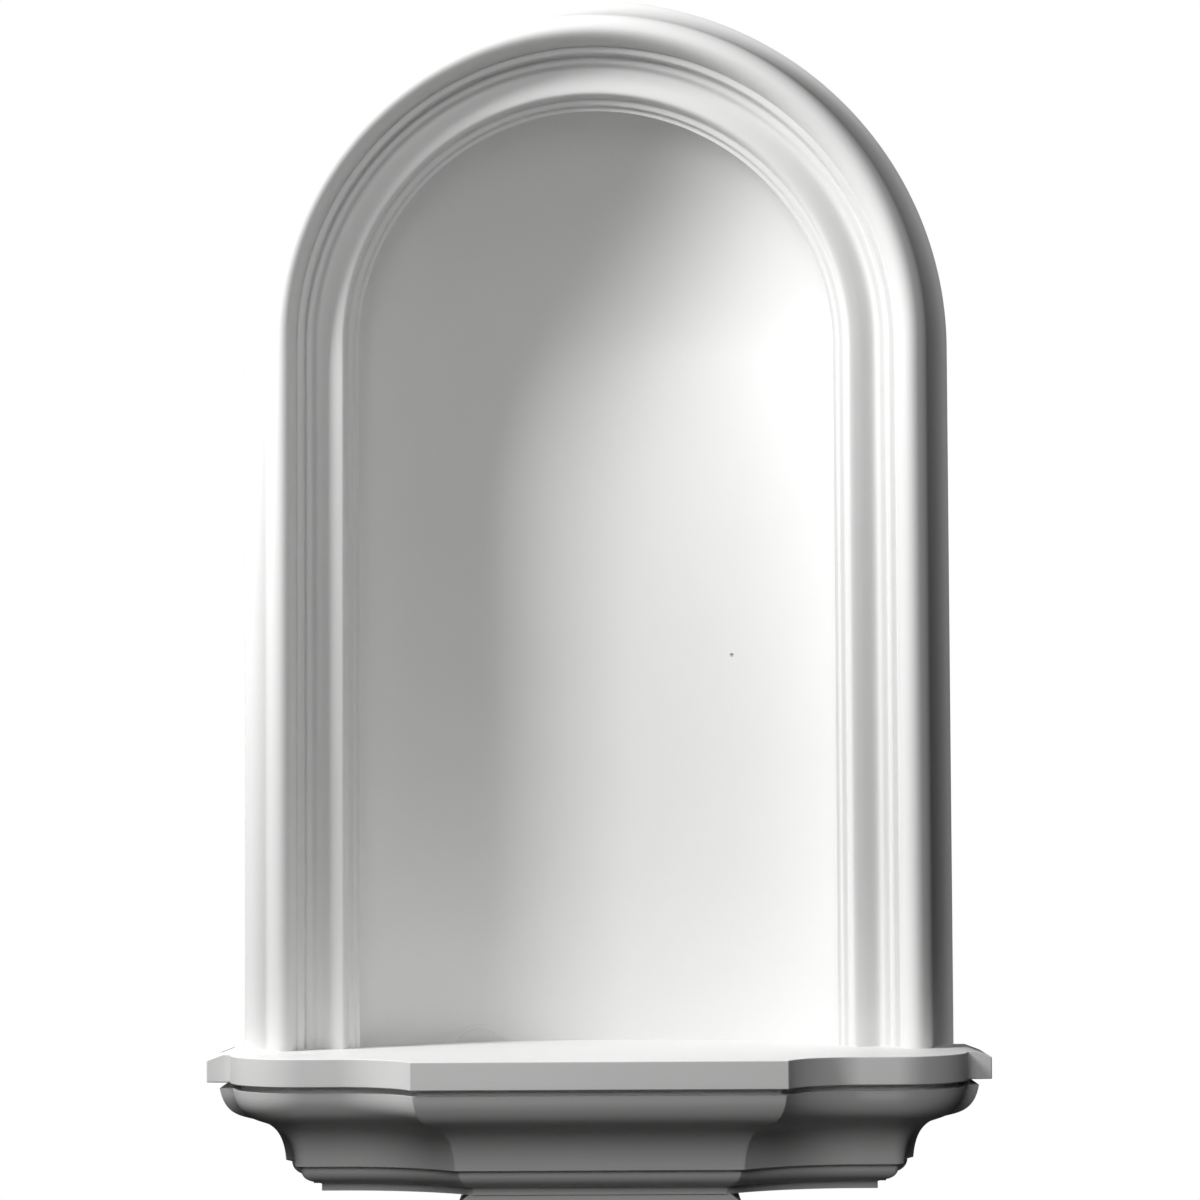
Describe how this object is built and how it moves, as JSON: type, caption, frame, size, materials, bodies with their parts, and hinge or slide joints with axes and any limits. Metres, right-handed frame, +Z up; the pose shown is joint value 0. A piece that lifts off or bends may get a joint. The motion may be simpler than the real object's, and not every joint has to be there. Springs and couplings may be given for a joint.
{
  "type": "wall niche",
  "caption": "Round-headed wall niche: arched moulded casing round a smooth oval-plan bowl, above a projecting moulded console shelf.",
  "frame": {"origin": "on the flat back of the shelf, on the middle line, 62 mm below the shelf's top, in the plane of the wall's face", "axes": "+Z up, +X to the right of someone facing the niche, +Y into the wall; the niche faces -Y"},
  "size_m": [0.6, 0.2778, 0.9424],
  "materials": {
    "white_urethane": "satin white, factory-primed dense urethane foam"
  },
  "bodies": {
    "root": {"wall_niche": "white_urethane"}
  },
  "joints": []
}
